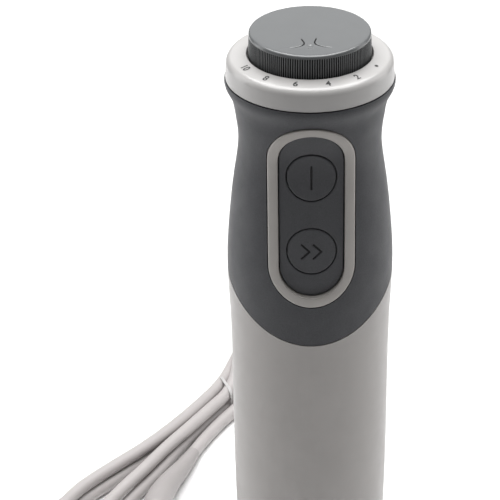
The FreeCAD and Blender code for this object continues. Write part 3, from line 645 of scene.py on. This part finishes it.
def racetrack(half_width, high, low, arc_steps=40, side_steps=24):
    """Points (x, drop) round a racetrack."""
    points = []
    top, bottom = high + half_width, low - half_width
    for centre, turn in ((bottom, 0), (top, math.pi)):
        for step in range(arc_steps + 1):
            angle = turn + math.pi * step / arc_steps
            points.append(Vector((half_width * math.cos(angle),
                                  centre + half_width * math.sin(angle))))
        start, end = points[-1], Vector((points[-1].x, top + bottom - centre))
        points += [start.lerp(end, step / side_steps) for step in range(1, side_steps)]
    return points


def make_bezel():
    """A satin frame with rounded shoulders, standing a little proud of the grip."""
    outer = racetrack(16.95, 26.15, 103.4)
    inner = racetrack(12.85, 29.7, 99.0)
    from_outer = [(0, -3), (0, -0.1), (0.04, 0.16), (0.14, 0.34), (0.32, 0.46), (0.6, 0.52)]
    crown = 0.6
    from_inner = [(0.5, crown), (0.34, 0.58), (0.06, 0.34), (0, 0.2), (0, -0.1), (0, -3.4)]
    bm = bmesh.new()
    rings = []
    for edge, hole in zip(outer, inner):
        way = (hole - edge).normalized()
        places = [(edge + way * reach, proud) for reach, proud in from_outer]
        places += [(edge.lerp(hole, 0.5), crown)]
        places += [(hole - way * reach, proud) for reach, proud in from_inner]
        rings.append([bm.verts.new(on_skin(*place, proud)) for place, proud in places])
    bridged(bm, rings, closed=True)
    bezel = finished("satin_bezel", bm, "housing", "bezel_satin", 35)
    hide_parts("button_bezel")


def stroke_depth(point, strokes, half_width):
    """How deep an engraved point lies, from 0 to 1, for strokes between pairs of points."""
    nearest = math.inf
    for start, end in strokes:
        along = (point - start).dot(end - start) / (end - start).length_squared
        nearest = min(nearest, (point - start.lerp(end, min(1, max(0, along)))).length)
    return eased((half_width - nearest) / 0.25)


def rounding(distance, edge):
    """How far a rounded edge has fallen at a distance inside the border."""
    short = max(0.0, 1 - distance / edge)
    return edge * (1 - math.sqrt(1 - min(short, 1.0) ** 2))


def make_panel():
    """A racetrack plate with rounded edges and two round openings."""
    edge, wall, pitch = 0.3, 2.2, 1.3
    middles = [Vector((0, ON_DROP)), Vector((0, TURBO_DROP))]

    def from_border(point):
        level = min(max(point.y, PANEL_HIGH + PANEL_HALF), PANEL_LOW - PANEL_HALF)
        inside = PANEL_HALF - math.hypot(point.x, point.y - level)
        return min(inside, *((point - middle).length - BUTTON_HOLE for middle in middles))

    places, border = [], []
    for inset in (0, 0.04, 0.1, 0.18, 0.3, 0.8):
        loops = [racetrack(PANEL_HALF - inset, PANEL_HIGH + inset, PANEL_LOW - inset)]
        for middle in middles:
            loops.append([middle + (BUTTON_HOLE + inset) * Vector(way) for way in directions(120)])
        for loop in loops:
            first = len(places)
            if inset == 0:
                border += [(first + index, first + (index + 1) % len(loop))
                           for index in range(len(loop))]
            places += loop
    for column in range(-9, 10):
        for row in range(60):
            point = Vector((column * pitch, PANEL_HIGH + row * pitch))
            if from_border(point) > 1.2:
                places.append(point)
    flat, _, faces, *_ = delaunay_2d_cdt(places, border, [], 1, 1e-4)
    bm = bmesh.new()
    sunk = [PANEL_SUNK + rounding(from_border(point), edge) for point in flat]
    vertices = [bm.verts.new(on_panel(point.x, point.y, depth)) for point, depth in zip(flat, sunk)]
    for face in faces:
        middle = sum((flat[index] for index in face), Vector((0, 0))) / len(face)
        if from_border(middle) > 0:
            bm.faces.new([vertices[index] for index in face])
    loose = [vertex for vertex in bm.verts if not vertex.link_faces]
    bmesh.ops.delete(bm, geom=loose, context="VERTS")
    rim = [side for side in bm.edges if len(side.link_faces) == 1]
    sides = bmesh.ops.extrude_edge_only(bm, edges=rim)["geom"]
    for vertex in (item for item in sides if isinstance(item, bmesh.types.BMVert)):
        vertex.co.y += wall
    panel = finished("key_panel", bm, "housing", "panel_dark", 50)
    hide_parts("button_panel")


def make_button(name, body, replaced, drop, flange, strokes):
    """A round button with a soft edge, an engraved sign whose strokes are painted with shade, and a
    flange behind the panel.
    """
    bm = bmesh.new()
    spokes = 240
    radii = [0.13 * step for step in range(69)]
    radii += [BUTTON_RADIUS - BUTTON_EDGE * (1 - math.sin(math.pi * step / 16))
              for step in range(1, 9)]
    rings = []
    for reach in radii:
        fall = BUTTON_SUNK + rounding(BUTTON_RADIUS - reach, BUTTON_EDGE)
        ring = []
        for way in directions(spokes if reach else 1):
            offset = Vector(way) * reach
            signed = reach < SIGN_REACH
            sunk = STROKE_DEPTH * stroke_depth(offset, strokes, STROKE_HALF) if signed else 0
            ring.append(bm.verts.new(on_panel(offset.x, drop + offset.y, fall + sunk)))
        rings.append(ring)
    for reach, depth in ((BUTTON_RADIUS, 0), (FLANGE_RADIUS, 0), (FLANGE_RADIUS, 1), (0, 1)):
        rings.append([bm.verts.new((reach * x, flange + depth, TOP - drop - reach * y))
                      for x, y in directions(spokes if reach else 1)])
    bridged(bm, rings)
    # Faces deep in the sign's strokes take groove_dark, near-black painted shade in the engraving.
    for face in bm.faces:
        x, _, z = face.calc_center_median()
        point = Vector((x, TOP - z - drop))
        signed = point.length < SIGN_REACH
        face.material_index = int(signed and stroke_depth(point, strokes, STROKE_HALF) > 0.4)
    piece = finished(name, bm, body, "panel_dark", 50, "groove_dark")
    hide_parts(replaced)


make_dial()
make_ring()
make_numbers()
make_bezel()
make_panel()
make_button("on_key_cap", "on_key", "on_button", ON_DROP, ON_FLANGE, ON_SIGN)
make_button("turbo_key_cap", "turbo_key", "turbo_button", TURBO_DROP, TURBO_FLANGE, TURBO_SIGN)


# ---- lead, strain relief, plug, tie -------------------------------------------------------------
INSIDE_RADIUS = CORD_RADIUS - 0.2
BOOT_LENGTH = 83
BOOT_WIDEST, BOOT_ROOT, BOOT_TAPER = 9.3, 9.9, 0.0715
BOOT_GROOVES = (5, 15)
GROOVE_PITCH, GROOVE_LAND, BOOT_GROOVE_DEPTH = 4.4, 2.9, 0.6
TIE_CORNER = 4.1
TIE_RIGHT, TIE_LEFT, TIE_HIGH, TIE_LOW = 9.1, -8.4, 15.8, 0.45
TIE_PLACE, TIE_SLANT = 10.5, 0.6


def place_along(bm, start, way):
    """Turns what was built up the Z axis to lie along way from start."""
    turn = Vector((0, 0, 1)).rotation_difference(way).to_matrix().to_4x4()
    bmesh.ops.transform(bm, matrix=Matrix.Translation(start) @ turn, verts=bm.verts)


def ringed(start_radius, end_radius, start, end, count, groove):
    """A tapering outline with flexing grooves."""
    points = []
    for index in range(count):
        for part, depth in ((0, 0), (0.45, 0), (0.55, groove), (0.9, groove)):
            reach = start + (end - start) * (index + part) / count
            radius = start_radius + (end_radius - start_radius) * (index + part) / count
            points.append((radius - depth, reach))
    points.append((end_radius, end))
    return points


def make_relief():
    """The tapered relief that the lead leaves the housing through."""
    outline = [(INSIDE_RADIUS, 0), (7.2, 0), (7.4, 0.2), (7.4, 1.4), (7.2, 1.6), (6.1, 1.7),
               (5.8, 2.2)]
    outline += ringed(5.8, 4.75, 5, 34, 8, 0.7)
    outline += [(4.7, 36.8), (4.5, 37.6), (4.1, 38), (INSIDE_RADIUS, 38)]
    bm = bmesh.new()
    lathe(bm, outline, steps=64)
    place_along(bm, RELIEF_ROOT, RELIEF_WAY)
    relief = finished("relief_boot", bm, "housing", "cord_grey", 40)
    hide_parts("strain_relief")
    return relief


def lead_places():
    """Points along the lead's own line, in millimetres."""
    line = mains_lead.data.copy()
    line.bevel_depth = 0
    holder = bpy.data.objects.new("lead_line", line)
    mesh = bpy.data.meshes.new_from_object(holder)
    places = [vertex.co / MM for vertex in mesh.vertices]
    bpy.data.objects.remove(holder)
    bpy.data.meshes.remove(mesh)
    return places


def boot_radius(reach):
    """The radius of the plug's boot at a distance along it: a taper with grooves at its root."""
    if reach > BOOT_LENGTH:
        return INSIDE_RADIUS
    radius = min(BOOT_WIDEST, BOOT_ROOT - BOOT_TAPER * reach)
    if BOOT_GROOVES[0] < reach < BOOT_GROOVES[1] and reach % GROOVE_PITCH > GROOVE_LAND:
        radius -= BOOT_GROOVE_DEPTH
    return radius


def make_neck():
    """The plug's long tapering boot, which follows the lead; its grey, darker than the lead's, is
    painted shade.
    """
    places = lead_places()[::-1]
    bm = bmesh.new()
    rings = []
    gone = 0.0
    for place, following in zip(places, places[1:]):
        way = (following - place).normalized()
        side = way.cross(Vector((0, 0, 1))).normalized()
        over = side.cross(way)
        hop = (following - place).length
        for part in range(4):
            reach = gone + hop * part / 4
            centre = place.lerp(following, part / 4)
            radius = boot_radius(reach)
            rings.append([bm.verts.new(centre + radius * (side * x + over * y))
                          for x, y in directions(48)])
            if reach > BOOT_LENGTH:
                break
        gone += hop
        if gone > BOOT_LENGTH:
            break
    bridged(bm, rings, capped=True)
    return finished("plug_boot", bm, "housing", "plug_grey", 40)


def make_plug():
    """A moulded body with rounded edges and a waist to hold it by."""
    stations = [(0, 0.1, 0.1), (0, 15.6, 10.9), (0.3, 16.8, 12.0), (1.1, 17.7, 12.8),
                (2.4, 18.2, 13.2), (6, 18.3, 13.3), (12, 17.9, 12.7), (18, 16.9, 11.9),
                (24, 15.9, 11.6), (28, 14.4, 11.4), (31, 12.2, 10.8), (33, 10.2, 9.8),
                (33.9, 8.6, 8.6), (34, 0.1, 0.1)]
    squareness = 0.72
    outline = [(math.copysign(abs(x) ** squareness, x), math.copysign(abs(z) ** squareness, z))
               for x, z in directions(96)]
    bm = bmesh.new()
    rings = [[bm.verts.new((PLUG_FACE.x + half_wide * x, PLUG_FACE.y + reach,
                            PLUG_FACE.z + half_tall * z)) for x, z in outline]
             for reach, half_wide, half_tall in stations]
    bridged(bm, rings, capped=True)
    plug = finished("plug_moulding", bm, "housing", "plug_grey", 45)
    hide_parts("plug_body")
    return plug


def make_pins():
    """Two round pins with rounded tips and half-length insulating sleeves."""
    sleeve = [(0, -0.5), (2.4, -0.5), (2.4, 9.4), (2.25, 9.6), (0, 9.6)]
    pin = [(0, 9.5), (2.32, 9.5), (2.32, 17), (2.2, 17.8), (1.8, 18.5), (1.1, 18.9), (0, 19)]
    pieces = []
    for side, half_spacing in (("left", -9.5), ("right", 9.5)):
        for name, slot, outline in (("sleeve", "inner_black", sleeve), ("pin", "pin_brass", pin)):
            bm = bmesh.new()
            lathe(bm, outline, steps=40, closed=False)
            place_along(bm, PLUG_FACE + Vector((half_spacing, 0, 0)), Vector((0, -1, 0)))
            pieces.append(finished(f"plug_{name}_{side}", bm, "housing", slot, 40))
            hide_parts("plug_pins")
    return pieces


def tie_path():
    """The tie's line round the runs, as (to the right, above the floor), and the way it faces."""
    path = []
    for across, height, turn in ((TIE_RIGHT, TIE_HIGH, 0), (TIE_LEFT, TIE_HIGH, 90),
                                 (TIE_LEFT, TIE_LOW, 180), (TIE_RIGHT, TIE_LOW, 270)):
        inward = -TIE_CORNER if height == TIE_HIGH else TIE_CORNER
        centre = Vector((across - math.copysign(TIE_CORNER, across), height + inward))
        for step in range(9):
            angle = math.radians(turn + 90 * step / 8)
            way = Vector((math.cos(angle), math.sin(angle)))
            path.append((centre + TIE_CORNER * way, way))
    return path


def make_tie():
    """A flat twist tie slanting round the runs, its ends twisted together beside them."""
    bm = bmesh.new()
    section = [(-1.1, -0.25), (-0.5, -0.4), (0.5, -0.4), (1.1, -0.25), (1.1, 0.25), (0.5, 0.4),
               (-0.5, 0.4), (-1.1, 0.25)]
    rings = []
    for place, way in tie_path():
        along = TIE_PLACE + TIE_SLANT * place.x
        rings.append([bm.verts.new(on_hank(along + side, *(place + way * out)))
                      for side, out in section])
    bridged(bm, rings, closed=True)
    for strand in (0, math.pi):
        rings = []
        for step in range(49):
            turn = step / 48 * 5 * math.pi + strand
            middle = Vector(on_hank(15.5 - step * 0.33, 9.4 + 0.02 * step, 13.2 - 0.06 * step))
            out = HANK_RIGHT * math.cos(turn) + Vector((0, 0, 1)) * math.sin(turn)
            over = HANK_WAY.cross(out)
            rings.append([bm.verts.new(middle + out * (0.55 + 0.45 * x) + over * 0.7 * y)
                          for x, y in directions(8)])
        bridged(bm, rings, capped=True)
    tie = finished("twist_tie", bm, "housing", "tie_white", 50)
    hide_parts("hank_tie")
    return tie


def dress_cord():
    """The lead's finish and its place on the housing, then its relief, the plug's boot, the plug,
    its pins and the tie.
    """
    mains_lead.data.materials.append(LOOKS["cord_grey"])
    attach(mains_lead, "housing")
    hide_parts("mains_cord", "cord_hank", "plug_lead")
    make_relief()
    make_neck()
    make_plug()
    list(make_pins())
    make_tie()


dress_cord()


# ---- floor, light and background ----------------------------------------------------------------
def make_stage():
    """A plain pale floor."""
    floor = bpy.data.meshes.new("floor")
    half = 6
    corners = [(-half, -half, 0), (half, -half, 0), (half, half, 0), (-half, half, 0)]
    floor.from_pydata(corners, [], [(0, 1, 2, 3)])
    piece = placed("floor", floor)
    pale = Finish("floor_pale", (0.92, 0.92, 0.92), 0.9)
    pale.mottled(pale.noise(400), 0.004)
    floor.materials.append(pale.material)


def area_light(name, place, target, width, height, power):
    """A soft box that faces the target. The camera doesn't see the box itself."""
    light = bpy.data.lights.new(name, "AREA")
    light.shape = "RECTANGLE"
    light.size = width
    light.size_y = height
    light.energy = power
    lamp = placed(name, light)
    lamp.location = place
    lamp.rotation_mode = "QUATERNION"
    lamp.rotation_quaternion = (Vector(target) - Vector(place)).to_track_quat("-Z", "Y")
    lamp.visible_camera = False


def make_light():
    """A soft box overhead and a little behind, weaker ones at the sides and behind, and faint light
    all round."""
    middle = (0, 0, 0.3)
    area_light("top_box", (0, 0.45, 1.55), (0, 0.45, 0), 1.6, 1.2, 35)
    area_light("left_box", (-1.2, 0.35, 0.55), middle, 0.6, 1.2, 4.6)
    area_light("right_box", (1.2, 0.35, 0.55), middle, 0.6, 1.2, 3.6)
    area_light("back_box", (0, 2.6, 1.5), (0, 0, 0.4), 3, 1.3, 8.5)
    world = bpy.data.worlds.new("studio")
    bpy.context.scene.world = world
    world.use_nodes = True
    background = world.node_tree.nodes["Background"]
    background.inputs["Color"].default_value = (1, 1, 1, 1)
    background.inputs["Strength"].default_value = 0.2
    bpy.context.scene.view_settings.view_transform = "Standard"


make_stage()
make_light()
